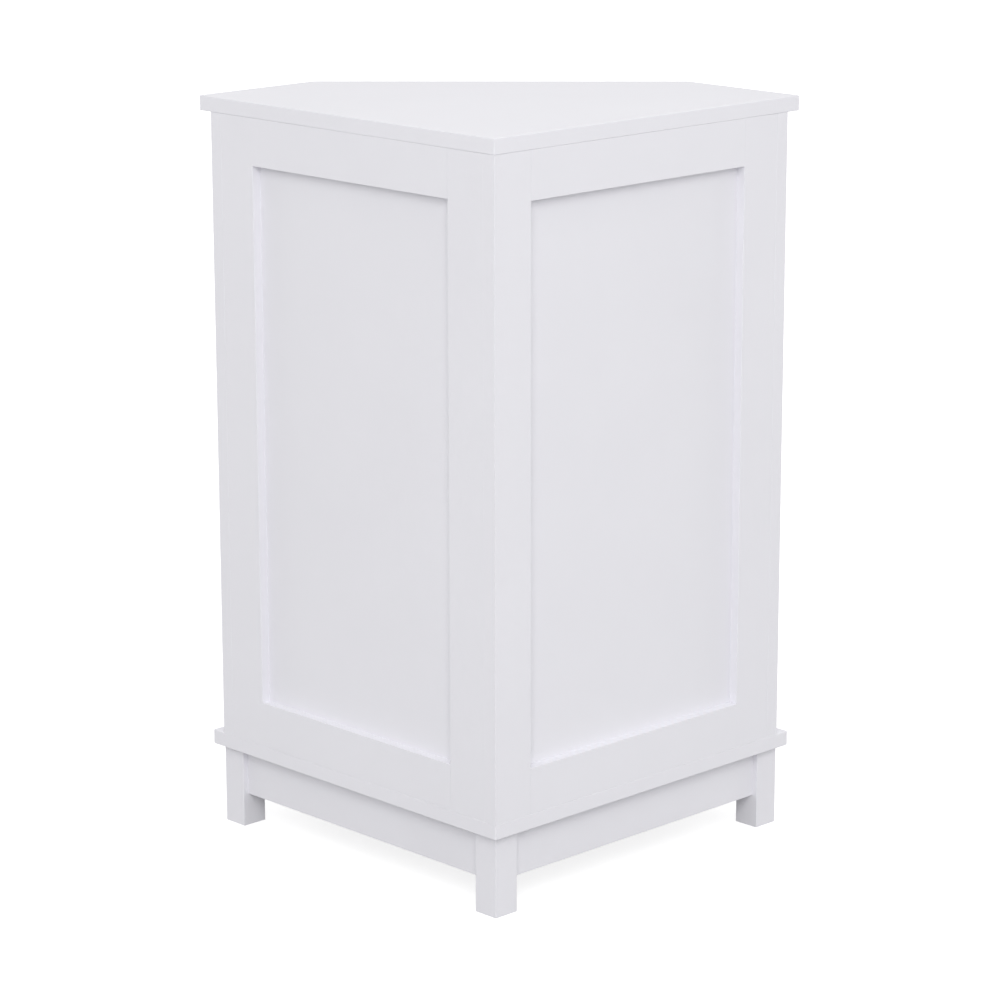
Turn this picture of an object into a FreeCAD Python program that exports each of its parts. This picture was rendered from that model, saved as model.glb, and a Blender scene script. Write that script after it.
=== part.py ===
import FreeCAD, Part
import math
import os

Vector = FreeCAD.Vector

# A five-sided cabinet for the corner of a room. Left and right are as seen by someone facing the door.
# Driving dimensions, in millimetres.

# Carcass
total_height = 800.0
wall_side = 426.0  # room corner to the outer face of an end panel
end_side = 140.0  # wall face to the carcass front, on the outer face of an end panel
frame_thickness = 16.0
end_thickness = 16.0
board_ease = 0.8  # rounding of the board edges that show
frame_ease = 0.3  # rounding of frame members and end panels, whose joints show as fine lines

# Top and base panels
top_thickness = 16.0
top_overhang = 18.0  # past the end panels
top_front_overhang = 25.5  # past the carcass front
top_corner_radius = 1.0
base_thickness = 16.0
base_overhang = 18.0
base_front_overhang = 26.5
base_corner_radius = 1.5
slab_ease = 0.8

# Wall frames
stile_width = 50.0
top_rail_width = 50.0
bottom_rail_width = 49.0
recess_depth = 10.0  # frame face to panel face
rabbet_lap = 10.0  # how far a panel laps behind its frame
panel_fit = 0.4

# Legs and aprons
base_height = 88.0  # floor to the underside of the base panel
leg_width = 30.0
leg_wall_inset = 8.0
leg_end_inset = 10.0
leg_front_inset = 8.0
leg_ease = 0.5
apron_height = 52.0
apron_thickness = 16.0
apron_setback = 6.0  # leg face to apron face

# Door
door_thickness = 16.0
door_stile_width = 55.0
door_rail_width = 55.0
door_recess = 10.0
door_gap = 2.5  # above and below the door
knob_height = 500.0  # floor to the knob's axis

# Butt hinges
hinge_length = 50.0
hinge_inset = 70.0  # carcass end to the middle of a hinge
leaf_width = 19.0  # pin axis to the leaf's edge
leaf_thickness = 1.5
leaf_gap = 0.5  # between the closed leaves
leaf_mortise = 1.0  # how deep each leaf is let into its board
knuckle_radius = 3.2
knuckle_clearance = 0.3
hinge_pin_radius = 1.6
pin_running_clearance = 0.05
pin_press_clearance = 0.01
door_edge_clearance = 0.6  # knuckle to the door's edge
hinge_screw_offset = 11.0  # pin axis to the screws
hinge_screw_spread = 32.0
hinge_screw_radius = 1.5
hinge_screw_head = 2.8
hinge_screw_skin = 2.5  # wood left beside the end panel's screws
door_screw_bite = 11.0

# Knob
knob_foot_radius = 8.0
knob_neck_radius = 5.0
knob_head_radius = 14.5
knob_length = 26.0
knob_head_thickness = 11.0
knob_flare_radius = 10.9  # neck where it meets the head
knob_rim = 3.0
knob_foot_thickness = 2.5
knob_screw_radius = 2.0
knob_screw_head = 4.2
knob_screw_head_height = 2.4
knob_screw_bite = 9.0

# Magnetic catch and door bumpers
catch_margin = 8.0  # door dowels to the striker's screw
catch_width = 32.0
catch_depth = 15.0
catch_height = 16.0
catch_wall = 2.0
catch_ear = 9.0
catch_ear_thickness = 2.5
magnet_thickness = 5.0
pole_thickness = 1.4
pole_proud = 0.8
catch_gap = 0.3
striker_width = 36.0
striker_height = 11.0
striker_thickness = 1.2
small_screw_radius = 1.4
small_screw_head = 2.6
small_screw_head_height = 1.5
small_screw_bite = 9.0
bumper_radius = 4.0
bumper_inset = 40.0  # carcass end to a bumper
bumper_gap = 0.3

# Shelves and shelf pins
shelf_thickness = 12.0
shelf_clearance = 1.5
shelf_setback = 12.0  # carcass front to a shelf's front edge
lower_shelf_height = 335.0  # floor to the shelf's underside
upper_shelf_height = 559.0
pin_pitch = 32.0
pin_steps = 1  # spare holes above and below each shelf
pin_front_setback = 50.0
pin_radius = 2.5
pin_peg = 9.0
pin_collar_radius = 4.0
pin_collar = 1.2
pin_spade_length = 10.0
pin_spade_width = 7.0
pin_spade_thickness = 2.5

# Joinery
dowel_radius = 3.0
dowel_slab_bite = 10.0
dowel_rail_bite = 15.0
dowel_stile_bite = 12.0
dowel_margin = 13.0  # rail edge to a dowel
dowel_inset = 60.0  # rail end to a locating dowel
apron_dowel_radius = 4.0
apron_dowel_bite = 18.0
apron_dowel_margin = 14.0
apron_dowel_skin = 1.0  # wood between the holes that two aprons have in a leg
cam_radius = 7.5
cam_skin = 3.5  # board left in front of a cam
cam_slot = 3.5  # depth of a cam's screwdriver slot
cam_distance = 24.0  # joint to the cam's axis
cam_rise = 70.0  # carcass end to the cams of the upright joints
bolt_radius = 2.5
bolt_thread = 10.0
bolt_head_radius = 3.3
bolt_head_length = 5.0
leg_screw_radius = 2.5
leg_screw_head = 4.8
leg_screw_bite = 35.0
drive_reach = 0.6  # arm of a screw's cross drive, as a share of the head's radius
drive_half_width = 0.16  # half an arm's width, as a share of the head's radius
drive_sink = 0.6  # depth of a screw's drive, as a share of the head's height
pan_flank = 0.4  # straight side of a pan head, as a share of its height
hole_fit = 0.1  # radial clearance of pegs, screws and dowels in their holes
hole_relief = 0.5  # room past the end of a fastener
touch = 0.001

# Places that follow from the driving dimensions
root2 = math.sqrt(2.0)
base_top = base_height + base_thickness
top_under = total_height - top_thickness
carcass_middle = (base_top + top_under) / 2
frame_end = wall_side - end_thickness
front_plane = (wall_side + end_side) / root2
inner_front = root2 * front_plane - frame_end
front_half = (wall_side - end_side) / root2
mitre_width = end_thickness * root2
panel_thickness = frame_thickness - recess_depth
leaf_proud = leaf_thickness - leaf_mortise
hinge_gap = 2 * leaf_proud + leaf_gap
hinge_x = -(front_half + root2 * (knuckle_radius + knuckle_clearance) - hinge_gap / 2)
pin_plane = front_plane + hinge_gap / 2
door_back = front_plane + hinge_gap
door_front = door_back + door_thickness
door_half = -hinge_x - knuckle_radius - door_edge_clearance
door_low = base_top + door_gap
door_high = top_under - door_gap
knob_x = door_half - door_stile_width / 2
catch_x = door_half - door_stile_width - dowel_rail_bite - catch_margin
pin_end_row = inner_front - pin_front_setback
rear_reach = frame_ease * (root2 - 1)
front_reach = door_front + knob_length
corner_y = (front_reach + rear_reach) / 2

solids = {}
holes = {}


def add(node, shape):
    solids.setdefault(node, []).append(shape)


def drill(node, cutter):
    holes.setdefault(node, []).append(cutter)


# Shapes


def box(x0, x1, y0, y1, z0, z1):
    return Part.makeBox(x1 - x0, y1 - y0, z1 - z0, Vector(x0, y0, z0))


def prism(points, z0, z1):
    corners = [Vector(x, y, z0) for x, y in points]
    outline = Part.makePolygon(corners + corners[:1])
    return Part.Face(outline).extrude(Vector(0, 0, z1 - z0))


def rod(start, direction, radius, length):
    return Part.makeCylinder(radius, length, start, direction)


def turned(edges):
    """Solid of revolution about z from the edges of a closed half section in the xz plane."""
    section = Part.Face(Part.Wire(edges))
    return section.revolve(Vector(0, 0, 0), Vector(0, 0, 1), 360)


def straight_edges(points):
    corners = [Vector(radius, 0, z) for radius, z in points]
    return [Part.makeLine(a, b) for a, b in zip(corners, corners[1:])]


def dome_edge(radius, z, crown):
    """Arc of a ball on the axis, from (radius, z) to the crown."""
    rise = crown - z
    ball = (radius**2 + rise**2) / (2 * rise)
    half_angle = math.asin(radius / ball) / 2
    middle = Vector(ball * math.sin(half_angle), 0, crown - ball + ball * math.cos(half_angle))
    return Part.Arc(Vector(radius, 0, z), middle, Vector(0, 0, crown)).toShape()


def aim(shape, start, direction):
    """A shape modelled along +z from the origin, moved to start and turned to direction."""
    aimed = shape.copy()
    aimed.Placement = FreeCAD.Placement(start, FreeCAD.Rotation(Vector(0, 0, 1), direction))
    return aimed


def runs_along(edge, axis):
    first = edge.Vertexes[0].Point
    last = edge.Vertexes[-1].Point
    return abs(getattr(last - first, axis)) > edge.Length - touch


def lies_on(edge, axis, value):
    return all(abs(getattr(corner.Point, axis) - value) < touch for corner in edge.Vertexes)


def ease(shape, radius, wanted):
    return shape.makeFillet(radius, [edge for edge in shape.Edges if wanted(edge)])


# Placing. The wall frame has its origin on the floor in the room corner, x along the left wall and
# y along the right wall. The front frame has the same origin, x to the right and -y out through the door.


def swap(shape):
    return shape.mirror(Vector(0, 0, 0), Vector(1, -1, 0))


def from_front(shape):
    moved = shape.copy()
    moved.translate(Vector(0, corner_y, 0))
    return moved


def from_walls(shape):
    moved = shape.copy()
    moved.rotate(Vector(0, 0, 0), Vector(0, 0, 1), -135)
    return from_front(moved)


def from_right(shape):
    return from_walls(swap(shape))


# Each side's placing and where its wall frame starts: the left frame runs into the corner, and the right
# frame butts against its back.
sides = {"left": (from_walls, 0.0), "right": (from_right, frame_thickness)}


# Fasteners


def cross_recess(head_radius, depth):
    arm = drive_reach * head_radius
    half = drive_half_width * head_radius
    one = box(-arm, arm, -half, half, 0, depth)
    other = box(-half, half, -arm, arm, 0, depth)
    return one.fuse(other)


def countersunk_screw(radius, length, head_radius):
    """Flat head at the origin, shank along +z."""
    cone = head_radius - radius
    outline = [(0, 0), (head_radius, 0), (radius, cone), (radius, length - radius), (0, length), (0, 0)]
    body = turned(straight_edges(outline))
    return body.cut(cross_recess(head_radius, drive_sink * cone))


def countersunk_hole(radius, length, head_radius):
    cone = head_radius - radius
    wide = radius + hole_fit
    outline = [(0, 0), (wide + cone, 0), (wide, cone), (wide, length + hole_relief)]
    return turned(straight_edges(outline + [(0, length + hole_relief), (0, 0)]))


def pan_screw(radius, length, head_radius, head_height):
    """Seat of the head at the origin, shank along +z, head along -z."""
    flank = -pan_flank * head_height
    below = [(0, length), (radius, length - radius), (radius, 0), (head_radius, 0), (head_radius, flank)]
    edges = straight_edges(below)
    edges.append(dome_edge(head_radius, flank, -head_height))
    edges += straight_edges([(0, -head_height), (0, length)])
    recess = cross_recess(head_radius, drive_sink * head_height)
    recess.translate(Vector(0, 0, -head_height))
    return turned(edges).cut(recess)


def clearance_hole(start, direction, radius, length):
    return rod(start, direction, radius + hole_fit, length + hole_relief)


def dowel(group, place, joint, axis, radius, back, ahead, nodes):
    """A dowel across a joint, back behind it and ahead past it along axis, in holes of both boards."""
    add(group, place(rod(joint - axis * back, axis, radius, back + ahead)))
    start = joint - axis * (back + hole_relief)
    hole = rod(start, axis, radius + hole_fit, back + ahead + 2 * hole_relief)
    for node in nodes:
        drill(node, place(hole))


def cam_joint(place, joint, into, face, thickness, host, mate):
    """A cam sunk in the host's inner face, and its bolt screwed into the mate across the joint.

    joint is on the host's middle plane, into points from the mate into the host, and face points to the
    host's inner face.
    """
    centre = joint + into * cam_distance
    mouth = centre + face * (thickness / 2)
    depth = thickness - cam_skin
    head_start = cam_distance - bolt_head_length / 2
    shank = rod(joint - into * bolt_thread, into, bolt_radius, bolt_thread + head_start)
    head = rod(joint + into * head_start, into, bolt_head_radius, bolt_head_length)
    bolt_room = bolt_head_radius + hole_fit
    pocket = rod(joint, into, bolt_room, cam_distance + bolt_head_length / 2 + hole_relief)
    slot = aim(cross_recess(cam_radius, cam_slot), mouth, face * -1)
    cam = rod(mouth, face * -1, cam_radius, depth).cut([pocket, slot])
    add("cam_bolts", place(shank.fuse(head)))
    add("cam_locks", place(cam))
    drill(host, place(pocket))
    drill(host, place(rod(mouth, face * -1, cam_radius + hole_fit, depth)))
    drill(mate, place(clearance_hole(joint, into * -1, bolt_radius, bolt_thread)))


# Carcass


def slab(overhang, front_overhang, corner_radius, z0, z1):
    """A five-sided panel, flush with the walls and proud of the ends and the front."""
    long_edge = wall_side + overhang
    short_edge = root2 * (front_plane + front_overhang) - long_edge
    plan = [
        (0, 0),
        (long_edge, 0),
        (long_edge, short_edge),
        (short_edge, long_edge),
        (0, long_edge),
    ]
    blank = ease(prism(plan, z0, z1), corner_radius, lambda edge: runs_along(edge, "z"))
    rims = (z0, z1)
    return ease(blank, slab_ease, lambda edge: any(lies_on(edge, "z", z) for z in rims))


def make_slabs():
    top = slab(top_overhang, top_front_overhang, top_corner_radius, top_under, total_height)
    base = slab(base_overhang, base_front_overhang, base_corner_radius, base_height, base_top)
    add("top_panel", from_walls(top))
    add("base_panel", from_walls(base))


def on_face_along(axis):
    """Picks the edges of an outer face that run along an axis."""
    return lambda edge: lies_on(edge, "y", 0) and runs_along(edge, axis)


def make_wall_frame(side):
    place, start = sides[side]
    inner = start + stile_width
    outer = frame_end - stile_width
    sill = base_top + bottom_rail_width
    head = top_under - top_rail_width
    pocket = box(
        inner - rabbet_lap,
        outer + rabbet_lap,
        recess_depth,
        frame_thickness,
        sill - rabbet_lap,
        head + rabbet_lap,
    )
    stiles = {"corner_stile": (start, inner), "outer_stile": (outer, frame_end)}
    rails = {"bottom_rail": (base_top, sill), "top_rail": (head, top_under)}
    for name, (x0, x1) in stiles.items():
        stile = box(x0, x1, 0, frame_thickness, base_top, top_under)
        stile = ease(stile, frame_ease, on_face_along("z")).cut(pocket)
        add(f"{side}_wall_{name}", place(stile))
    for name, (z0, z1) in rails.items():
        rail = box(inner, outer, 0, frame_thickness, z0, z1)
        rail = ease(rail, frame_ease, on_face_along("x")).cut(pocket)
        add(f"{side}_wall_{name}", place(rail))
        for z in (z0 + dowel_margin, z1 - dowel_margin):
            lifted = z + rabbet_lap / 2 if name == "top_rail" else z - rabbet_lap / 2
            for stile_name, x, way in (("corner_stile", inner, 1), ("outer_stile", outer, -1)):
                dowel(
                    "frame_dowels",
                    place,
                    Vector(x, frame_thickness / 2, lifted),
                    Vector(way, 0, 0),
                    dowel_radius,
                    dowel_stile_bite,
                    dowel_rail_bite,
                    [f"{side}_wall_{stile_name}", f"{side}_wall_{name}"],
                )
    panel = box(
        inner - rabbet_lap + panel_fit,
        outer + rabbet_lap - panel_fit,
        recess_depth,
        recess_depth + panel_thickness,
        sill - rabbet_lap + panel_fit,
        head + rabbet_lap - panel_fit,
    )
    add(f"{side}_wall_panel", place(panel))


def make_end_panel(side):
    place = sides[side][0]
    plan = [(frame_end, 0), (wall_side, 0), (wall_side, end_side), (frame_end, inner_front)]
    board = ease(prism(plan, base_top, top_under), frame_ease, lambda edge: runs_along(edge, "z"))
    add(f"{side}_end_panel", place(board))


def free_back(start):
    """Middle of the back of a corner stile, between the other wall frame and the infill panel."""
    return (frame_thickness + start + stile_width - rabbet_lap) / 2


def join_carcass(side):
    """Cam locks and locating dowels of one wall frame and one end panel."""
    place, start = sides[side]
    middle = frame_thickness / 2
    corner_x = free_back(start)
    outer_x = frame_end - (stile_width - rabbet_lap) / 2
    end_y = (frame_thickness + pin_end_row) / 2
    inward = Vector(0, 1, 0)
    along = Vector(1, 0, 0)
    corner_stile = f"{side}_wall_corner_stile"
    outer_stile = f"{side}_wall_outer_stile"
    end_panel = f"{side}_end_panel"
    for slab_node, rail, z, into in (
        ("base_panel", "bottom_rail", base_top, Vector(0, 0, 1)),
        ("top_panel", "top_rail", top_under, Vector(0, 0, -1)),
    ):
        for host, x in ((corner_stile, corner_x), (outer_stile, outer_x)):
            cam_joint(place, Vector(x, middle, z), into, inward, frame_thickness, host, slab_node)
        end_joint = Vector(frame_end + end_thickness / 2, end_y, z)
        cam_joint(place, end_joint, into, along * -1, end_thickness, end_panel, slab_node)
        for x in (start + stile_width + dowel_inset, frame_end - stile_width - dowel_inset):
            dowel(
                "locating_dowels",
                place,
                Vector(x, middle, z),
                into,
                dowel_radius,
                dowel_slab_bite,
                dowel_rail_bite,
                [slab_node, f"{side}_wall_{rail}"],
            )
    for z in (base_top + cam_rise, top_under - cam_rise):
        joint = Vector(frame_end, middle, z)
        cam_joint(place, joint, along * -1, inward, frame_thickness, outer_stile, end_panel)
    dowel(
        "locating_dowels",
        place,
        Vector(frame_end, middle, carcass_middle),
        along * -1,
        dowel_radius,
        dowel_slab_bite,
        dowel_rail_bite,
        [end_panel, outer_stile],
    )


def join_corner():
    """The right wall frame butts against the back of the left one."""
    joint_x = frame_thickness / 2
    into = Vector(0, 1, 0)
    host = "right_wall_corner_stile"
    mate = "left_wall_corner_stile"
    for z in (base_top + cam_rise, top_under - cam_rise):
        joint = Vector(joint_x, frame_thickness, z)
        cam_joint(from_walls, joint, into, Vector(1, 0, 0), frame_thickness, host, mate)
    dowel(
        "locating_dowels",
        from_walls,
        Vector(joint_x, frame_thickness, carcass_middle),
        into,
        dowel_radius,
        dowel_slab_bite,
        dowel_rail_bite,
        [mate, host],
    )


# Legs and aprons


def make_leg(node, place, x0, y0):
    leg = box(x0, x0 + leg_width, y0, y0 + leg_width, 0, base_height)
    leg = ease(leg, leg_ease, lambda edge: runs_along(edge, "z") or lies_on(edge, "z", 0))
    add(node, place(leg))
    middle = Vector(x0 + leg_width / 2, y0 + leg_width / 2, base_top)
    down = Vector(0, 0, -1)
    length = base_thickness + leg_screw_bite
    screw = countersunk_screw(leg_screw_radius, length, leg_screw_head)
    hole = countersunk_hole(leg_screw_radius, length, leg_screw_head)
    add("leg_screws", place(aim(screw, middle, down)))
    drill(node, place(aim(hole, middle, down)))
    drill("base_panel", place(aim(hole, middle, down)))


def make_apron(node, place, plan, ends):
    """plan is the apron's outline, ends its (leg, point on the end's middle, way into the apron)."""
    low = base_height - apron_height
    apron = ease(prism(plan, low, base_height), board_ease, lambda edge: lies_on(edge, "z", low))
    add(node, place(apron))
    neighbour = apron_setback + apron_thickness / 2 + apron_dowel_radius + hole_fit + apron_dowel_skin
    leg_bite = min(leg_width / 2 - leg_screw_radius, leg_width - neighbour) - hole_relief
    for leg, (x, y), way in ends:
        for z in (low + apron_dowel_margin, base_height - apron_dowel_margin):
            dowel(
                "apron_dowels",
                place,
                Vector(x, y, z),
                way,
                apron_dowel_radius,
                leg_bite,
                apron_dowel_bite,
                [leg, node],
            )


def make_base():
    near = leg_wall_inset
    inner = near + leg_width
    far = wall_side + base_overhang - leg_end_inset
    leg_far = far - leg_width
    front_line = root2 * (front_plane + base_front_overhang - leg_front_inset)
    front_y = front_line - far
    face = near + apron_setback
    back = face + apron_thickness
    middle = (face + back) / 2
    outer_face = far - apron_setback
    end_middle = outer_face - apron_thickness / 2
    along_x = Vector(1, 0, 0)
    along_y = Vector(0, 1, 0)
    make_leg("corner_leg", from_walls, near, near)
    for side, (place, _) in sides.items():
        wall_leg = f"{side}_wall_leg"
        front_leg = f"{side}_front_leg"
        make_leg(wall_leg, place, leg_far, near)
        make_leg(front_leg, place, leg_far, front_y - leg_width)
        wall_plan = [(inner, face), (leg_far, face), (leg_far, back), (inner, back)]
        wall_ends = [
            ("corner_leg", (inner, middle), along_x),
            (wall_leg, (leg_far, middle), along_x * -1),
        ]
        make_apron(f"{side}_wall_apron", place, wall_plan, wall_ends)
        end_plan = [
            (outer_face - apron_thickness, inner),
            (outer_face, inner),
            (outer_face, front_y - leg_width),
            (outer_face - apron_thickness, front_y - leg_width),
        ]
        end_ends = [
            (wall_leg, (end_middle, inner), along_y),
            (front_leg, (end_middle, front_y - leg_width), along_y * -1),
        ]
        make_apron(f"{side}_end_apron", place, end_plan, end_ends)
    # The front apron's ends are mitred to stand flat against the front legs.
    front_face = front_line - root2 * apron_setback - front_y
    front_back = front_face - root2 * apron_thickness
    front_middle = (front_face + front_back) / 2
    plan = [
        (front_back, front_y),
        (front_face, front_y),
        (front_y, front_face),
        (front_y, front_back),
    ]
    across = Vector(-1, 1, 0).normalize()
    ends = [
        ("left_front_leg", (front_middle, front_y), across),
        ("right_front_leg", (front_y, front_middle), across * -1),
    ]
    make_apron("front_apron", from_walls, plan, ends)


# Door, in the front frame


def make_door():
    inner = door_half - door_stile_width
    sill = door_low + door_rail_width
    head = door_high - door_rail_width
    panel_face = door_front - door_recess
    pocket = box(
        -inner - rabbet_lap,
        inner + rabbet_lap,
        -panel_face,
        -door_back,
        sill - rabbet_lap,
        head + rabbet_lap,
    )

    def on_front(edge):
        return lies_on(edge, "y", -door_front)

    stiles = {"door_hinge_stile": (-door_half, -inner), "door_knob_stile": (inner, door_half)}
    rails = {"door_bottom_rail": (door_low, sill, -1), "door_top_rail": (head, door_high, 1)}
    for node, (x0, x1) in stiles.items():
        stile = box(x0, x1, -door_front, -door_back, door_low, door_high)
        add(node, from_front(ease(stile, frame_ease, on_front).cut(pocket)))
    for node, (z0, z1, way) in rails.items():
        rail = box(-inner, inner, -door_front, -door_back, z0, z1)
        eased = ease(rail, frame_ease, lambda edge: on_front(edge) and runs_along(edge, "x"))
        add(node, from_front(eased.cut(pocket)))
        for z in (z0 + dowel_margin, z1 - dowel_margin):
            for stile_node, side in (("door_hinge_stile", -1), ("door_knob_stile", 1)):
                joint = Vector(side * inner, -(door_back + door_thickness / 2), z + way * rabbet_lap / 2)
                dowel(
                    "door_dowels",
                    from_front,
                    joint,
                    Vector(-side, 0, 0),
                    dowel_radius,
                    dowel_stile_bite,
                    dowel_rail_bite,
                    [stile_node, node],
                )
    panel = box(
        -inner - rabbet_lap + panel_fit,
        inner + rabbet_lap - panel_fit,
        -panel_face,
        -door_back,
        sill - rabbet_lap + panel_fit,
        head + rabbet_lap - panel_fit,
    )
    add("door_panel", from_front(panel))


def make_knob():
    """A turned mushroom knob and the screw that draws it against the door."""
    neck_low = knob_foot_thickness
    neck_high = knob_length - knob_head_thickness
    neck_middle = (neck_low + neck_high) / 2
    rim_low = neck_high + knob_rim
    rim_high = rim_low + knob_rim
    edges = straight_edges([(0, 0), (knob_foot_radius, 0), (knob_foot_radius, neck_low)])
    waist = Vector(knob_neck_radius, 0, neck_middle)
    flare = Vector(knob_flare_radius, 0, neck_high)
    edges.append(Part.Arc(Vector(knob_foot_radius, 0, neck_low), waist, flare).toShape())
    rim = [(flare.x, neck_high), (knob_head_radius, rim_low), (knob_head_radius, rim_high)]
    edges += straight_edges(rim)
    edges.append(dome_edge(knob_head_radius, rim_high, knob_length))
    edges += straight_edges([(0, knob_length), (0, 0)])
    out = Vector(0, -1, 0)
    seat = Vector(knob_x, -door_front, knob_height)
    knob = aim(turned(edges), seat, out)
    head_seat = Vector(knob_x, -door_back, knob_height)
    length = door_thickness + knob_screw_bite
    screw = pan_screw(knob_screw_radius, length, knob_screw_head, knob_screw_head_height)
    hole = from_front(clearance_hole(head_seat, out, knob_screw_radius, length))
    add("knob", from_front(knob))
    add("knob_screw", from_front(aim(screw, head_seat, out)))
    drill("knob", hole)
    drill("door_knob_stile", hole)


def make_hinge(which, z_middle):
    """A three-knuckle butt hinge: the frame leaf has the outer knuckles, the door leaf the middle one."""
    low = z_middle - hinge_length / 2
    high = z_middle + hinge_length / 2
    middle_low = z_middle - hinge_length / 6
    middle_high = z_middle + hinge_length / 6
    axis = Vector(hinge_x, -pin_plane, 0)
    up = Vector(0, 0, 1)
    room = knuckle_radius + knuckle_clearance

    def column(radius, z0, z1):
        return rod(axis + up * z0, up, radius, z1 - z0)

    frame_face = -front_plane - leaf_proud
    frame_seat = -front_plane + leaf_mortise
    door_face = -door_back + leaf_proud
    door_seat = -door_back - leaf_mortise
    edge = hinge_x + leaf_width
    pin = column(hinge_pin_radius, low, high)
    tight = column(hinge_pin_radius + pin_press_clearance, low, high)
    loose = column(hinge_pin_radius + pin_running_clearance, low, high)
    lower_knuckle = column(knuckle_radius, low, middle_low - knuckle_clearance)
    middle_knuckle = column(knuckle_radius, middle_low, middle_high)
    upper_knuckle = column(knuckle_radius, middle_high + knuckle_clearance, high)
    middle_room = column(room, middle_low - knuckle_clearance, middle_high + knuckle_clearance)
    frame_leaf = box(hinge_x, edge, frame_face, frame_seat, low, high).cut(middle_room)
    frame_leaf = frame_leaf.fuse([lower_knuckle, upper_knuckle]).cut(tight)
    door_leaf = box(hinge_x, edge, door_seat, door_face, low, high)
    door_leaf = door_leaf.cut([column(room, low, middle_low), column(room, middle_high, high)])
    door_leaf = door_leaf.fuse(middle_knuckle).cut(loose)
    frame_node = f"{which}_hinge_frame_leaf"
    door_node = f"{which}_hinge_door_leaf"
    add(frame_node, from_front(frame_leaf.removeSplitter()))
    add(door_node, from_front(door_leaf.removeSplitter()))
    add("hinge_pins", from_front(pin))
    fit_edge = edge + hole_fit
    fit_low = low - hole_fit
    fit_high = high + hole_fit
    frame_mortise = box(hinge_x, fit_edge, -front_plane, frame_seat, fit_low, fit_high)
    door_mortise = box(hinge_x, fit_edge, door_seat, -door_back, fit_low, fit_high)
    drill("left_end_panel", from_front(frame_mortise))
    drill("door_hinge_stile", from_front(door_mortise))
    screw_x = hinge_x + hinge_screw_offset
    corner_offset = hinge_screw_offset - (-hinge_x - front_half)
    frame_bite = mitre_width - corner_offset - leaf_mortise - hinge_screw_radius - hinge_screw_skin
    sets = (
        ("hinge_frame_screws", frame_node, "left_end_panel", frame_face, 1, frame_bite),
        ("hinge_door_screws", door_node, "door_hinge_stile", door_face, -1, door_screw_bite),
    )
    for group, leaf, board, y, way, bite in sets:
        length = leaf_thickness + bite
        for z in (z_middle - hinge_screw_spread / 2, z_middle + hinge_screw_spread / 2):
            seat = Vector(screw_x, y, z)
            aimed = Vector(0, way, 0)
            screw = countersunk_screw(hinge_screw_radius, length, hinge_screw_head)
            hole = countersunk_hole(hinge_screw_radius, length, hinge_screw_head)
            add(group, from_front(aim(screw, seat, aimed)))
            for node in (leaf, board):
                drill(node, from_front(aim(hole, seat, aimed)))


def make_catch():
    """A magnet between two pole plates in a case under the top panel, and the striker on the door."""
    half = catch_width / 2
    low = top_under - catch_height
    pole_tip = door_back - striker_thickness - catch_gap
    face = pole_tip - pole_proud
    back = face - catch_depth
    pole_low = low + catch_wall
    magnet_low = pole_low + pole_thickness
    magnet_high = magnet_low + magnet_thickness
    pole_high = magnet_high + pole_thickness
    inner = half - catch_wall
    inner_back = back + catch_wall
    case = box(catch_x - half, catch_x + half, -face, -back, low, top_under)
    cavity = box(catch_x - inner, catch_x + inner, -face, -inner_back, pole_low, pole_high + hole_fit)
    ear_low = top_under - catch_ear_thickness
    ears = box(catch_x - half - catch_ear, catch_x + half + catch_ear, -face, -back, ear_low, top_under)
    add("catch_case", from_front(case.fuse(ears).removeSplitter().cut(cavity)))
    left = catch_x - inner + hole_fit
    right = catch_x + inner - hole_fit
    magnet = box(left, right, -face + pole_proud, -inner_back, magnet_low, magnet_high)
    add("catch_magnet", from_front(magnet))
    for z0, z1 in ((pole_low, magnet_low), (magnet_high, pole_high)):
        pole = box(left, right, -pole_tip, -inner_back, z0, z1)
        add("catch_poles", from_front(pole))
    up = Vector(0, 0, 1)
    length = catch_ear_thickness + small_screw_bite
    for x in (catch_x - half - catch_ear / 2, catch_x + half + catch_ear / 2):
        seat = Vector(x, -(face + back) / 2, ear_low)
        screw = pan_screw(small_screw_radius, length, small_screw_head, small_screw_head_height)
        add("catch_screws", from_front(aim(screw, seat, up)))
        for node in ("catch_case", "top_panel"):
            drill(node, from_front(clearance_hole(seat, up, small_screw_radius, length)))
    striker_z = (pole_low + pole_high) / 2
    plate = box(
        catch_x - striker_width / 2,
        catch_x + striker_width / 2,
        -door_back,
        -door_back + striker_thickness,
        striker_z - striker_height / 2,
        striker_z + striker_height / 2,
    )
    add("striker_plate", from_front(plate))
    seat = Vector(catch_x, -door_back + striker_thickness, striker_z)
    out = Vector(0, -1, 0)
    length = striker_thickness + small_screw_bite
    screw = countersunk_screw(small_screw_radius, length, small_screw_radius + striker_thickness)
    hole = countersunk_hole(small_screw_radius, length, small_screw_radius + striker_thickness)
    add("striker_screw", from_front(aim(screw, seat, out)))
    for node in ("striker_plate", "door_top_rail"):
        drill(node, from_front(aim(hole, seat, out)))


def make_bumpers():
    """Thin stops on the front edge of the right end panel."""
    height = hinge_gap - bumper_gap
    rim = height / 2
    flank = [(0, 0), (bumper_radius, 0), (bumper_radius, rim), (bumper_radius - rim, height)]
    disc = turned(straight_edges(flank + [(0, height), (0, 0)]))
    x = front_half - mitre_width / 2
    for z in (base_top + bumper_inset, top_under - bumper_inset):
        bumper = aim(disc, Vector(x, -front_plane, z), Vector(0, -1, 0))
        add("door_bumpers", from_front(bumper))


# Shelves


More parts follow.
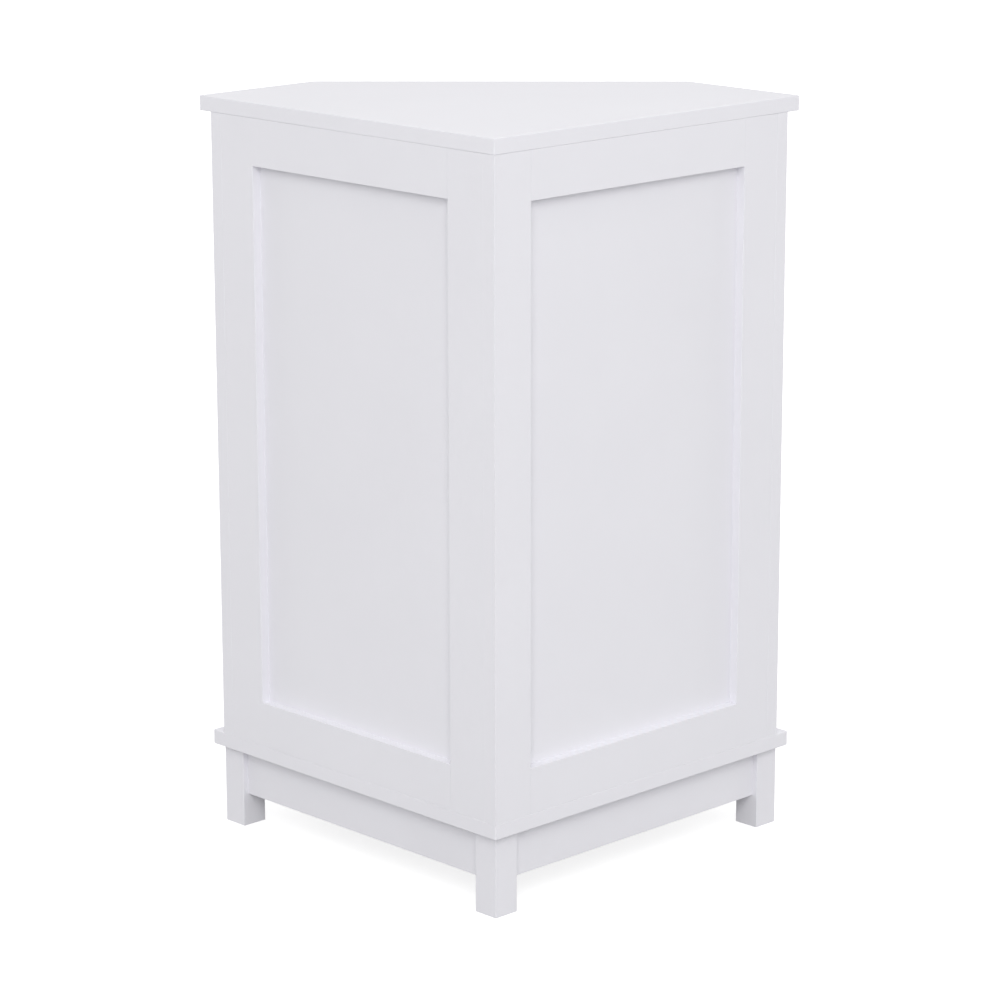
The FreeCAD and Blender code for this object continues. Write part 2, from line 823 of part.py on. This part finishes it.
def shelf_pin():
    """A peg along -z in its hole, a collar on the board and a flat spade along +z, its top at y = 0."""
    peg = rod(Vector(0, 0, -pin_peg), Vector(0, 0, 1), pin_radius, pin_peg)
    collar = rod(Vector(0, 0, 0), Vector(0, 0, 1), pin_collar_radius, pin_collar)
    half = pin_spade_width / 2
    spade = box(-half, half, -pin_spade_thickness, 0, 0, pin_spade_length)
    return peg.fuse([collar, spade]).removeSplitter()


def make_pins(side):
    place, start = sides[side]
    end_face = Vector(frame_end, pin_end_row, 0)
    wall_face = Vector(free_back(start), frame_thickness, 0)
    rows = (
        (f"{side}_wall_corner_stile", wall_face, Vector(0, 1, 0), Vector(1, 0, 0)),
        (f"{side}_end_panel", end_face, Vector(-1, 0, 0), Vector(0, 1, 0)),
    )
    heights = {"lower_shelf_pins": lower_shelf_height, "upper_shelf_pins": upper_shelf_height}
    up = Vector(0, 0, 1)
    for node, foot, out, across in rows:
        turn = FreeCAD.Rotation(across, up, out, "ZYX")
        for group, height in heights.items():
            pin = shelf_pin()
            pin.Placement = FreeCAD.Placement(foot + up * height, turn)
            add(group, place(pin))
            for step in range(-pin_steps, pin_steps + 1):
                mouth = foot + up * (height + step * pin_pitch)
                drill(node, place(clearance_hole(mouth, out * -1, pin_radius, pin_peg)))


def make_shelf(node, height):
    near = frame_thickness + shelf_clearance
    far = frame_end - shelf_clearance
    front = root2 * (front_plane - shelf_setback) - far
    plan = [(near, near), (far, near), (far, front), (front, far), (near, far)]
    board = prism(plan, height, height + shelf_thickness)

    def on_front(edge):
        return all(corner.Point.x + corner.Point.y > far + front - touch for corner in edge.Vertexes)

    add(node, from_walls(ease(board, board_ease, on_front)))


def finished(node):
    """A node's solids with their holes, as one shape."""
    cutters = holes.get(node)
    done = []
    for shape in solids[node]:
        whole = shape.cut(cutters) if cutters else shape
        done += whole.Solids
    return done[0] if len(done) == 1 else Part.makeCompound(done)


def main():
    make_slabs()
    for side in sides:
        make_wall_frame(side)
        make_end_panel(side)
        join_carcass(side)
        make_pins(side)
    join_corner()
    make_base()
    make_door()
    make_knob()
    make_hinge("lower", base_top + hinge_inset)
    make_hinge("upper", top_under - hinge_inset)
    make_catch()
    make_bumpers()
    make_shelf("lower_shelf", lower_shelf_height)
    make_shelf("upper_shelf", upper_shelf_height)
    os.makedirs("parts", exist_ok=True)
    for node in solids:
        finished(node).exportStep(f"parts/{node}.step")


main()
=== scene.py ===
"""Finishes, studio and camera for a white corner storage cabinet."""

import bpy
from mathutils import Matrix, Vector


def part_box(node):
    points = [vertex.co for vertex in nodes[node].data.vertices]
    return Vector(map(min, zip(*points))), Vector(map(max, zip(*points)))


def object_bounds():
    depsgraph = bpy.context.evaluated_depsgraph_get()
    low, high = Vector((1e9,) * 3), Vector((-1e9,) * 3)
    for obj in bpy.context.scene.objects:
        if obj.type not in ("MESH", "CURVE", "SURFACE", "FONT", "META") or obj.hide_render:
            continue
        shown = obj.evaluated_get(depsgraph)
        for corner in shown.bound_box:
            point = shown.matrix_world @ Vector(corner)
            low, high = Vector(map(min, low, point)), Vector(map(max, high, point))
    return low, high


bl_info = {
    "name": "Corner Cabinet Finishes",
    "version": (1, 0, 0),
    "blender": (4, 5, 0),
    "location": "View3D > Sidebar > Cabinet",
    "description": "Dresses the boards and fittings of a corner cabinet and sets up its studio",
    "category": "Object",
}

import math
from collections import namedtuple

import bpy
from bpy.props import FloatProperty, FloatVectorProperty, PointerProperty
from mathutils import Euler, Vector

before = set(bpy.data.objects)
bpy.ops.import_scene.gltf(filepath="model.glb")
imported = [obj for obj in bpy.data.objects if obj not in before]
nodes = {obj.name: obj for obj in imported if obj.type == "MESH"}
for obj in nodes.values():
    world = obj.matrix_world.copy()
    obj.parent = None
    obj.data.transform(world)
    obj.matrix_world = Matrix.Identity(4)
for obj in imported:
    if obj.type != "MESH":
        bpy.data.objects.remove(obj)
cad_box = [list(corner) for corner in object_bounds()]
cad_low, cad_high = (Vector(corner) for corner in cad_box)

LEFT_WALL_TURN = math.radians(45)
RIGHT_WALL_TURN = math.radians(-45)
FLOOR_SIDE = 60  # metres
CAMERA_REACH = 100  # metres

# A lamp's turn from the wall corner and rise above the horizon are in degrees, its size in metres.
Softbox = namedtuple("Softbox", "turn rise size power")


class CabinetFinish(bpy.types.PropertyGroup):
    """Colours and textures of the cabinet's finishes."""

    paint_colour: FloatVectorProperty(
        name="Paint",
        description="Satin white paint on every board",
        subtype="COLOR",
        size=3,
        min=0,
        max=1,
        default=(0.820, 0.814, 0.856),
    )
    paint_shade: FloatVectorProperty(
        name="Paint, thin places",
        description="Slightly darker white where the paint lies thinner",
        subtype="COLOR",
        size=3,
        min=0,
        max=1,
        default=(0.806, 0.800, 0.842),
    )
    paint_roughness: FloatProperty(
        name="Paint roughness",
        description="Middle roughness of the satin paint",
        subtype="FACTOR",
        min=0,
        max=1,
        default=0.42,
    )
    paint_relief: FloatProperty(
        name="Paint relief",
        description="Height of the paint's fine orange peel",
        subtype="DISTANCE",
        unit="LENGTH",
        default=0.00006,
    )
    nickel_colour: FloatVectorProperty(
        name="Satin nickel",
        description="Knob, hinges and shelf pins",
        subtype="COLOR",
        size=3,
        min=0,
        max=1,
        default=(0.43, 0.42, 0.40),
    )
    zinc_colour: FloatVectorProperty(
        name="Zinc plating",
        description="Cams, bolts and hidden screws",
        subtype="COLOR",
        size=3,
        min=0,
        max=1,
        default=(0.50, 0.51, 0.53),
    )
    beech_colour: FloatVectorProperty(
        name="Bare beech",
        description="Dowels",
        subtype="COLOR",
        size=3,
        min=0,
        max=1,
        default=(0.56, 0.36, 0.19),
    )
    plastic_colour: FloatVectorProperty(
        name="Catch plastic",
        description="Moulded case of the magnetic catch",
        subtype="COLOR",
        size=3,
        min=0,
        max=1,
        default=(0.74, 0.74, 0.72),
    )
    ferrite_colour: FloatVectorProperty(
        name="Ferrite",
        description="Magnet of the catch",
        subtype="COLOR",
        size=3,
        min=0,
        max=1,
        default=(0.035, 0.034, 0.034),
    )
    bumper_colour: FloatVectorProperty(
        name="Clear bumper",
        description="Soft clear stops behind the door",
        subtype="COLOR",
        size=3,
        min=0,
        max=1,
        default=(0.86, 0.88, 0.90),
    )


class CabinetStudio(bpy.types.PropertyGroup):
    """Camera and soft light around the cabinet."""

    camera_place: FloatVectorProperty(
        name="Camera place",
        description="Where the photographer stands, before the cabinet's wall corner",
        subtype="TRANSLATION",
        unit="LENGTH",
        size=3,
        default=(-0.0566, 3.5932, 1.2940),
    )
    camera_turn: FloatVectorProperty(
        name="Camera turn",
        description="Tilt, roll and heading of the camera",
        subtype="EULER",
        unit="ROTATION",
        size=3,
        default=(math.radians(75.828), math.radians(0.0963), math.radians(-179.148)),
    )
    camera_lens: FloatProperty(
        name="Lens",
        description="Focal length in millimetres",
        default=127.21,
    )
    room_light: FloatProperty(
        name="Room light",
        description="Even white light from all round",
        default=0.59,
    )
    overhead_power: FloatProperty(
        name="Overhead softbox",
        description="Lamp over the cabinet",
        unit="POWER",
        default=26.0,
    )
    key_power: FloatProperty(
        name="Key softbox",
        description="Main lamp, high behind the camera",
        unit="POWER",
        default=172.0,
    )
    left_power: FloatProperty(
        name="Left softbox",
        description="Lamp at the camera's left",
        unit="POWER",
        default=4.0,
    )
    right_power: FloatProperty(
        name="Right softbox",
        description="Lamp at the camera's right",
        unit="POWER",
        default=22.0,
    )
    door_power: FloatProperty(
        name="Door softboxes",
        description="Two lamps on the door's side",
        unit="POWER",
        default=85.0,
    )
    lamp_distance: FloatProperty(
        name="Lamp distance",
        description="From the cabinet's middle to every lamp",
        subtype="DISTANCE",
        unit="LENGTH",
        default=6.0,
    )
    floor_colour: FloatVectorProperty(
        name="Floor",
        description="Plain pale floor",
        subtype="COLOR",
        size=3,
        min=0,
        max=1,
        default=(0.50, 0.50, 0.50),
    )
    floor_glow: FloatProperty(
        name="Floor glow",
        description="White that the camera sees on the floor by the cabinet besides its lit colour",
        subtype="FACTOR",
        min=0,
        max=1,
        default=0.78,
    )
    floor_glow_reach: FloatProperty(
        name="Floor glow reach",
        description="Distance from the cabinet's middle at which the floor is seen fully white",
        subtype="DISTANCE",
        unit="LENGTH",
        default=1.8,
    )


# Node tools


def new_material(name):
    """A node material, its tree and its principled shader."""
    material = bpy.data.materials.new(name)
    material.use_nodes = True
    return material, material.node_tree, material.node_tree.nodes["Principled BSDF"]


def add_node(tree, kind, inputs=None, **settings):
    """A node with its settings, whose inputs are values or sockets to link."""
    node = tree.nodes.new(kind)
    for key, value in settings.items():
        setattr(node, key, value)
    for key, value in (inputs or {}).items():
        if isinstance(value, bpy.types.NodeSocket):
            tree.links.new(value, node.inputs[key])
        else:
            node.inputs[key].default_value = value
    return node


def object_place(tree, turn=0.0, scale=(1, 1, 1), shift=(0, 0, 0)):
    """Object coordinates, shifted, turned about the upright axis and stretched."""
    coordinates = add_node(tree, "ShaderNodeTexCoord")
    shifted = add_node(
        tree,
        "ShaderNodeMapping",
        {"Vector": coordinates.outputs["Object"], "Location": shift, "Rotation": (0, 0, turn)},
    )
    stretched = add_node(
        tree,
        "ShaderNodeMapping",
        {"Vector": shifted.outputs["Vector"], "Scale": scale},
    )
    return stretched.outputs["Vector"]


def noise(tree, place, scale, detail=2.0, roughness=0.5):
    """A noise value between zero and one."""
    return add_node(
        tree,
        "ShaderNodeTexNoise",
        {"Vector": place, "Scale": scale, "Detail": detail, "Roughness": roughness},
    ).outputs["Fac"]


def between(tree, value, low, high, source=(0.3, 0.7)):
    """A noise value spread over a range."""
    return add_node(
        tree,
        "ShaderNodeMapRange",
        {"Value": value, "From Min": source[0], "From Max": source[1], "To Min": low, "To Max": high},
    ).outputs["Result"]


def blend_colours(tree, factor, first, second):
    """A colour between two, by a factor from zero to one."""
    mix = add_node(tree, "ShaderNodeMix", data_type="RGBA")
    tree.links.new(factor, mix.inputs["Factor"])
    mix.inputs["A"].default_value = (*first, 1)
    mix.inputs["B"].default_value = (*second, 1)
    return mix.outputs["Result"]


def relief(tree, height, distance, under=None):
    """A bumped normal, on top of another one where it is given."""
    inputs = {"Height": height, "Distance": distance, "Strength": 1.0}
    if under is not None:
        inputs["Normal"] = under
    return add_node(tree, "ShaderNodeBump", inputs).outputs["Normal"]


def shaded(colour, share):
    """A darker colour that keeps a share of the light."""
    return tuple(share * channel for channel in colour)


# Finishes

# Scales of the patterns, per metre
PAINT_CLOUDS = 7.0
PAINT_PEEL = 620.0
PAINT_GRAIN = 160.0
METAL_CLOUDS = 60.0
METAL_LINES = 900.0
KNOB_CLOUDS = 90.0
KNOB_RINGS = 2600.0
BEECH_FLECKS = 420.0
PLASTIC_PEEL = 1500.0

PAINT_IOR = 1.5
BUMPER_IOR = 1.48
BUMPER_CLEARNESS = 0.25


def satin_paint(name, grain_turn, grain_scale):
    """White satin paint: faint orange peel over board or wood whose grain runs one way."""
    finish = bpy.context.scene.cabinet_finish
    material, tree, shader = new_material(name)
    place = object_place(tree)
    grain_place = object_place(tree, grain_turn, grain_scale)
    cloud = noise(tree, place, PAINT_CLOUDS, detail=3.0)
    peel = noise(tree, place, PAINT_PEEL)
    grain = noise(tree, grain_place, PAINT_GRAIN, detail=4.0, roughness=0.6)
    tint = between(tree, cloud, 0.0, 1.0)
    shader.inputs["IOR"].default_value = PAINT_IOR
    tone = blend_colours(tree, tint, finish.paint_colour, finish.paint_shade)
    tree.links.new(tone, shader.inputs["Base Color"])
    rough = between(tree, peel, finish.paint_roughness - 0.05, finish.paint_roughness + 0.06)
    tree.links.new(rough, shader.inputs["Roughness"])
    grain_relief = relief(tree, grain, finish.paint_relief * 0.5)
    tree.links.new(relief(tree, peel, finish.paint_relief, under=grain_relief), shader.inputs["Normal"])
    return material


def brushed_metal(name, colour, roughness, scale):
    """Plated metal with fine lines and a few duller patches."""
    material, tree, shader = new_material(name)
    lines = noise(tree, object_place(tree, scale=scale), METAL_LINES, detail=3.0, roughness=0.6)
    cloud = noise(tree, object_place(tree), METAL_CLOUDS)
    shader.inputs["Metallic"].default_value = 1.0
    tone = blend_colours(tree, between(tree, cloud, 0, 1), colour, shaded(colour, 0.86))
    tree.links.new(tone, shader.inputs["Base Color"])
    tree.links.new(between(tree, lines, roughness - 0.08, roughness + 0.1), shader.inputs["Roughness"])
    tree.links.new(relief(tree, lines, 0.00001), shader.inputs["Normal"])
    return material


def turned_metal(name, colour, roughness, centre):
    """Metal with the fine rings that a lathe leaves about an axis along y."""
    material, tree, shader = new_material(name)
    place = object_place(tree, shift=(-centre.x, -centre.y, -centre.z), scale=(1, 0, 1))
    radius = add_node(tree, "ShaderNodeVectorMath", {0: place}, operation="LENGTH").outputs["Value"]
    rings = add_node(
        tree,
        "ShaderNodeTexNoise",
        {"W": radius, "Scale": KNOB_RINGS, "Detail": 3.0},
        noise_dimensions="1D",
    ).outputs["Fac"]
    cloud = noise(tree, object_place(tree), KNOB_CLOUDS)
    shader.inputs["Metallic"].default_value = 1.0
    tone = blend_colours(tree, between(tree, cloud, 0, 1), colour, shaded(colour, 0.88))
    tree.links.new(tone, shader.inputs["Base Color"])
    tree.links.new(between(tree, rings, roughness - 0.07, roughness + 0.08), shader.inputs["Roughness"])
    tree.links.new(relief(tree, rings, 0.000012), shader.inputs["Normal"])
    return material


def bare_beech(name):
    """Pale brown wood with short dark flecks along the grain."""
    colour = bpy.context.scene.cabinet_finish.beech_colour
    material, tree, shader = new_material(name)
    flecks_place = object_place(tree, scale=(1, 1, 0.12))
    grain = noise(tree, flecks_place, BEECH_FLECKS, detail=5.0, roughness=0.65)
    tone = blend_colours(tree, between(tree, grain, 0, 1), colour, shaded(colour, 0.62))
    tree.links.new(tone, shader.inputs["Base Color"])
    tree.links.new(between(tree, grain, 0.55, 0.75), shader.inputs["Roughness"])
    tree.links.new(relief(tree, grain, 0.00005), shader.inputs["Normal"])
    return material


def moulded_plastic(name, colour, roughness, peel_height):
    """Plastic with a fine spark-eroded texture."""
    material, tree, shader = new_material(name)
    peel = noise(tree, object_place(tree), PLASTIC_PEEL)
    tone = blend_colours(tree, between(tree, peel, 0, 1), colour, shaded(colour, 0.9))
    tree.links.new(tone, shader.inputs["Base Color"])
    tree.links.new(between(tree, peel, roughness - 0.06, roughness + 0.06), shader.inputs["Roughness"])
    tree.links.new(relief(tree, peel, peel_height), shader.inputs["Normal"])
    return material


def clear_rubber(name):
    """Soft clear plastic with a faint haze."""
    finish = bpy.context.scene.cabinet_finish
    material = moulded_plastic(name, finish.bumper_colour, roughness=0.25, peel_height=0.00001)
    shader = material.node_tree.nodes["Principled BSDF"]
    shader.inputs["Transmission Weight"].default_value = BUMPER_CLEARNESS
    shader.inputs["IOR"].default_value = BUMPER_IOR
    return material


# How the grain of a board lies: the turn of its pattern about the upright axis, and its stretch.
GRAIN = {
    "upright": (0.0, (1, 1, 0.05)),
    "left_run": (LEFT_WALL_TURN, (1, 0.05, 1)),
    "right_run": (RIGHT_WALL_TURN, (1, 0.05, 1)),
    "across": (0.0, (0.05, 1, 1)),
}


def paint(grain):
    """The white paint on boards whose grain lies a given way, made once."""
    name = f"white_paint_{grain}"
    return bpy.data.materials.get(name) or satin_paint(name, *GRAIN[grain])


def dress(material, *names):
    """Gives CAD nodes a finish."""
    for name in names:
        slots = nodes[name].data.materials
        slots.clear()
        slots.append(material)


# Operators


class CABINET_OT_paint_walls(bpy.types.Operator):
    """Paint the two framed walls and the end panels."""

    bl_idname = "cabinet.paint_walls"
    bl_label = "Paint Walls"

    def execute(self, context):
        for side in ("left", "right"):
            upright = ("wall_corner_stile", "wall_outer_stile", "wall_panel", "end_panel")
            dress(paint("upright"), *(f"{side}_{piece}" for piece in upright))
            dress(paint(f"{side}_run"), f"{side}_wall_top_rail", f"{side}_wall_bottom_rail")
        return {"FINISHED"}


class CABINET_OT_paint_slabs(bpy.types.Operator):
    """Paint the top panel, the base panel and the shelves."""

    bl_idname = "cabinet.paint_slabs"
    bl_label = "Paint Top, Base and Shelves"

    def execute(self, context):
        dress(paint("across"), "top_panel", "base_panel", "lower_shelf", "upper_shelf")
        return {"FINISHED"}


class CABINET_OT_paint_base(bpy.types.Operator):
    """Paint the legs and the aprons."""

    bl_idname = "cabinet.paint_base"
    bl_label = "Paint Legs and Aprons"

    def execute(self, context):
        dress(paint("upright"), "corner_leg")
        dress(paint("across"), "front_apron")
        for side, other in (("left", "right"), ("right", "left")):
            dress(paint("upright"), f"{side}_wall_leg", f"{side}_front_leg")
            dress(paint(f"{side}_run"), f"{side}_wall_apron")
            dress(paint(f"{other}_run"), f"{side}_end_apron")
        return {"FINISHED"}


class CABINET_OT_paint_door(bpy.types.Operator):
    """Paint the door's frame and panel."""

    bl_idname = "cabinet.paint_door"
    bl_label = "Paint Door"

    def execute(self, context):
        dress(paint("upright"), "door_hinge_stile", "door_knob_stile", "door_panel")
        dress(paint("across"), "door_top_rail", "door_bottom_rail")
        return {"FINISHED"}


class CABINET_OT_plate_fittings(bpy.types.Operator):
    """Give the knob, hinges, shelf pins and screws their plated metal."""

    bl_idname = "cabinet.plate_fittings"
    bl_label = "Plate Fittings"

    def execute(self, context):
        finish = context.scene.cabinet_finish
        low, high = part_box("knob")
        middle = (low + high) / 2
        colour = finish.nickel_colour
        turned = turned_metal("knob_nickel", colour, roughness=0.26, centre=middle)
        nickel = brushed_metal("hinge_nickel", colour, roughness=0.3, scale=(1, 1, 0.06))
        zinc = brushed_metal("zinc_plating", finish.zinc_colour, roughness=0.5, scale=(1, 1, 1))
        dress(turned, "knob")
        for level in ("lower", "upper"):
            dress(nickel, f"{level}_hinge_frame_leaf", f"{level}_hinge_door_leaf", f"{level}_shelf_pins")
        dress(nickel, "hinge_pins", "hinge_frame_screws", "hinge_door_screws", "knob_screw")
        dress(zinc, "cam_locks", "cam_bolts", "leg_screws")
        dress(zinc, "catch_screws", "catch_poles", "striker_plate", "striker_screw")
        return {"FINISHED"}


class CABINET_OT_finish_small_pieces(bpy.types.Operator):
    """Finish the catch, the bumpers and the dowels."""

    bl_idname = "cabinet.finish_small_pieces"
    bl_label = "Finish Small Pieces"

    def execute(self, context):
        finish = context.scene.cabinet_finish
        case = moulded_plastic(
            "catch_plastic", finish.plastic_colour, roughness=0.45, peel_height=0.00002
        )
        magnet = moulded_plastic(
            "ferrite", finish.ferrite_colour, roughness=0.6, peel_height=0.00003
        )
        dress(case, "catch_case")
        dress(magnet, "catch_magnet")
        dress(clear_rubber("clear_bumper"), "door_bumpers")
        dress(bare_beech("bare_beech"), "apron_dowels", "frame_dowels", "locating_dowels", "door_dowels")
        return {"FINISHED"}


# Studio


def seen_background(tree):
    """One for rays that should see a white background: camera, glossy and transmission rays."""
    path = add_node(tree, "ShaderNodeLightPath")
    first = add_node(
        tree,
        "ShaderNodeMath",
        {0: path.outputs["Is Camera Ray"], 1: path.outputs["Is Glossy Ray"]},
        operation="MAXIMUM",
    )
    both = add_node(
        tree,
        "ShaderNodeMath",
        {0: first.outputs["Value"], 1: path.outputs["Is Transmission Ray"]},
        operation="MAXIMUM",
    )
    return both.outputs["Value"]


def softbox(name, place, aim, size, power):
    """A square area lamp at a place, turned to an aim."""
    bpy.ops.object.light_add(type="AREA", location=place)
    lamp = bpy.context.object
    lamp.name = name
    lamp.data.shape = "SQUARE"
    lamp.data.size = size
    lamp.data.energy = power
    lamp.rotation_euler = (Vector(aim) - Vector(place)).to_track_quat("-Z", "Y").to_euler()


class CABINET_OT_set_studio(bpy.types.Operator):
    """Lay the pale floor, hang the soft lamps and place the camera."""

    bl_idname = "cabinet.set_studio"
    bl_label = "Set Studio"

    def execute(self, context):
        studio = context.scene.cabinet_studio
        bpy.ops.object.select_all(action="DESELECT")
        self.lay_floor(studio)
        self.light_room(context.scene, studio)
        self.hang_lamps(studio)
        self.place_camera(context.scene, studio)
        context.scene.view_settings.view_transform = "Standard"
        return {"FINISHED"}

    def lay_floor(self, studio):
        """A pale floor that fades to white away from the cabinet where the camera sees it."""
        bpy.ops.mesh.primitive_plane_add(size=FLOOR_SIDE, location=(0, 0, cad_low.z))
        floor = bpy.context.object
        floor.name = "studio_floor"
        material, tree, shader = new_material("pale_floor")
        shader.inputs["Base Color"].default_value = (*studio.floor_colour, 1)
        shader.inputs["Roughness"].default_value = 0.9
        shader.inputs["Specular IOR Level"].default_value = 0.0
        place = add_node(tree, "ShaderNodeTexCoord").outputs["Object"]
        distance = add_node(tree, "ShaderNodeVectorMath", {0: place}, operation="LENGTH")
        fade = (cad_high.x, studio.floor_glow_reach)
        glow = between(tree, distance.outputs["Value"], studio.floor_glow, 1.0, fade)
        seen = add_node(
            tree,
            "ShaderNodeMath",
            {0: seen_background(tree), 1: glow},
            operation="MULTIPLY",
        )
        white = add_node(
            tree,
            "ShaderNodeEmission",
            {"Color": (1, 1, 1, 1), "Strength": seen.outputs["Value"]},
        )
        both = add_node(
            tree,
            "ShaderNodeAddShader",
            {0: shader.outputs["BSDF"], 1: white.outputs["Emission"]},
        )
        tree.links.new(both.outputs["Shader"], tree.nodes["Material Output"].inputs["Surface"])
        floor.data.materials.append(material)

    def light_room(self, scene, studio):
        """Even light on the cabinet, and white where the room itself is seen."""
        world = bpy.data.worlds.new("studio_room")
        world.use_nodes = True
        tree = world.node_tree
        strength = add_node(
            tree,
            "ShaderNodeMapRange",
            {"Value": seen_background(tree), "To Min": studio.room_light, "To Max": 1.0},
        )
        background = tree.nodes["Background"]
        background.inputs["Color"].default_value = (1, 1, 1, 1)
        tree.links.new(strength.outputs["Result"], background.inputs["Strength"])
        scene.world = world

    def hang_lamps(self, studio):
        """Soft lamps at one distance all round, aimed at the cabinet's middle."""
        middle = (cad_low + cad_high) / 2
        lamps = {
            "overhead_softbox": Softbox(turn=0, rise=75, size=3.0, power=studio.overhead_power),
            "key_softbox": Softbox(turn=0, rise=30, size=3.2, power=studio.key_power),
            "left_softbox": Softbox(turn=70, rise=20, size=2.0, power=studio.left_power),
            "right_softbox": Softbox(turn=-70, rise=30, size=2.0, power=studio.right_power),
            "door_left_softbox": Softbox(turn=-129, rise=10, size=3.0, power=studio.door_power),
            "door_right_softbox": Softbox(turn=129, rise=10, size=3.0, power=studio.door_power),
        }
        for name, lamp in lamps.items():
            heading = Euler((math.radians(lamp.rise), 0, -math.radians(lamp.turn)))
            way = heading.to_matrix() @ Vector((0, 1, 0))
            softbox(name, middle + studio.lamp_distance * way, middle, lamp.size, lamp.power)

    def place_camera(self, scene, studio):
        """The camera at the photograph's angle."""
        bpy.ops.object.camera_add(location=studio.camera_place, rotation=studio.camera_turn)
        camera = bpy.context.object
        camera.name = "studio_camera"
        camera.data.lens = studio.camera_lens
        camera.data.clip_end = CAMERA_REACH
        scene.camera = camera


class CABINET_PT_sidebar(bpy.types.Panel):
    """Lists the steps that dress the cabinet and set up its studio."""

    bl_idname = "CABINET_PT_sidebar"
    bl_label = "Corner Cabinet"
    bl_space_type = "VIEW_3D"
    bl_region_type = "UI"
    bl_category = "Cabinet"

    def draw(self, context):
        for operator in OPERATORS:
            self.layout.operator(operator.bl_idname)


OPERATORS = (
    CABINET_OT_paint_walls,
    CABINET_OT_paint_slabs,
    CABINET_OT_paint_base,
    CABINET_OT_paint_door,
    CABINET_OT_plate_fittings,
    CABINET_OT_finish_small_pieces,
    CABINET_OT_set_studio,
)
CLASSES = (CabinetFinish, CabinetStudio, *OPERATORS, CABINET_PT_sidebar)


def register():
    for cls in CLASSES:
        bpy.utils.register_class(cls)
    bpy.types.Scene.cabinet_finish = PointerProperty(type=CabinetFinish)
    bpy.types.Scene.cabinet_studio = PointerProperty(type=CabinetStudio)


def unregister():
    del bpy.types.Scene.cabinet_studio
    del bpy.types.Scene.cabinet_finish
    for cls in reversed(CLASSES):
        bpy.utils.unregister_class(cls)


def main():
    register()
    bpy.ops.cabinet.paint_walls()
    bpy.ops.cabinet.paint_slabs()
    bpy.ops.cabinet.paint_base()
    bpy.ops.cabinet.paint_door()
    bpy.ops.cabinet.plate_fittings()
    bpy.ops.cabinet.finish_small_pieces()
    bpy.ops.cabinet.set_studio()


if __name__ == "__main__":
    main()
